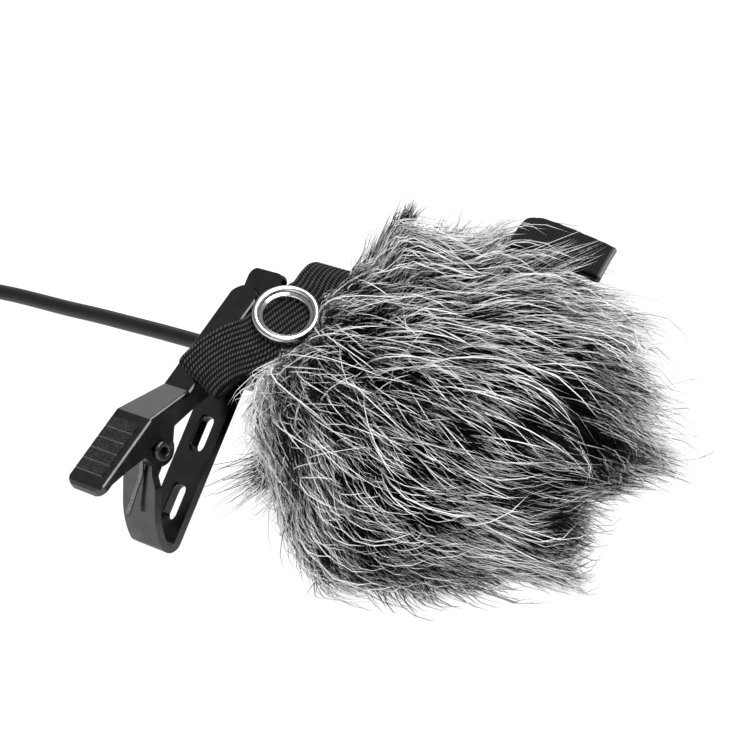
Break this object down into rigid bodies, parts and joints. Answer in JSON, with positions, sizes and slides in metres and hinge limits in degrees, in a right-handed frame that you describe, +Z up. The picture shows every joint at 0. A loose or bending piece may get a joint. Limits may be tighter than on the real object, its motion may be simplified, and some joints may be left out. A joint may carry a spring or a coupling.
{
  "type": "lavalier microphone",
  "caption": "Clip-on lavalier microphone with a sprung tie clip, a furry windscreen held by an elastic strap, and a cable with a jack plug.",
  "frame": {"origin": "bottom centre of the bounding box, without the free cable, on the surface that the clip's bend and the fur rest on", "axes": "+X from the microphone's cable end to the far end of the windscreen, +Z up, -Y towards the thumb press"},
  "size_m": [0.2159, 0.0717, 0.054],
  "materials": {
    "black_steel": "satin black coat with a fine speckle",
    "black_rivet": "glossy black",
    "spring_wire": "dark blued wire",
    "bright_metal": "polished",
    "plug_contact": "bright plated",
    "capsule_can": "satin",
    "black_rubber": "smooth satin",
    "black_plastic": "fine matt",
    "board": "coated board",
    "foam": "open-cell foam",
    "black_knit": "knitted cloth",
    "pile": "long mixed black, grey and white pile",
    "elastic": "ribbed woven elastic"
  },
  "bodies": {
    "root": {"clip_base": "black_steel", "pivot_rivet": "black_rivet", "torsion_spring": "spring_wire", "mic_holder": "black_steel", "holder_rivet": "black_rivet", "mic_housing": "black_steel", "mic_grille": "black_steel", "dust_felt": "black_knit", "capsule": "capsule_can", "capsule_gasket": "black_rubber", "circuit_board": "board", "cable_boot": "black_rubber", "elastic_strap": "elastic", "snap_ring": "bright_metal", "snap_socket": "bright_metal", "snap_stud": "bright_metal", "snap_back_ring": "bright_metal", "cable_lead": "black_rubber", "cable_coil": "black_rubber", "coil_tie": "elastic", "cable_tail": "black_rubber", "plug_boot": "black_rubber", "plug_barrel": "black_plastic", "plug_sleeve": "plug_contact", "plug_ring": "plug_contact", "plug_tip": "plug_contact", "plug_insulators": "black_plastic"},
    "lever": {"clip_lever": "black_steel"},
    "windscreen": {"foam_liner": "foam", "knit_backing": "black_knit", "neck_hem": "black_knit", "fur_pile": "pile", "label_tab": "black_knit"}
  },
  "joints": [
    {"name": "lever_pivot", "type": "hinge", "parent": "root", "child": "lever", "pos_m": [-0.02775, -0.02014, 0.01675], "axis": [1, 0, 0], "range_deg": [0, 24], "stiffness_Nm_per_rad": 0.12, "springref_deg": -20.05, "deforming": ["torsion_spring", "elastic_strap"]},
    {"name": "windscreen_off", "type": "slide", "parent": "root", "child": "windscreen", "axis": [1, 0, 0], "range_m": [0, 0.026]}
  ]
}
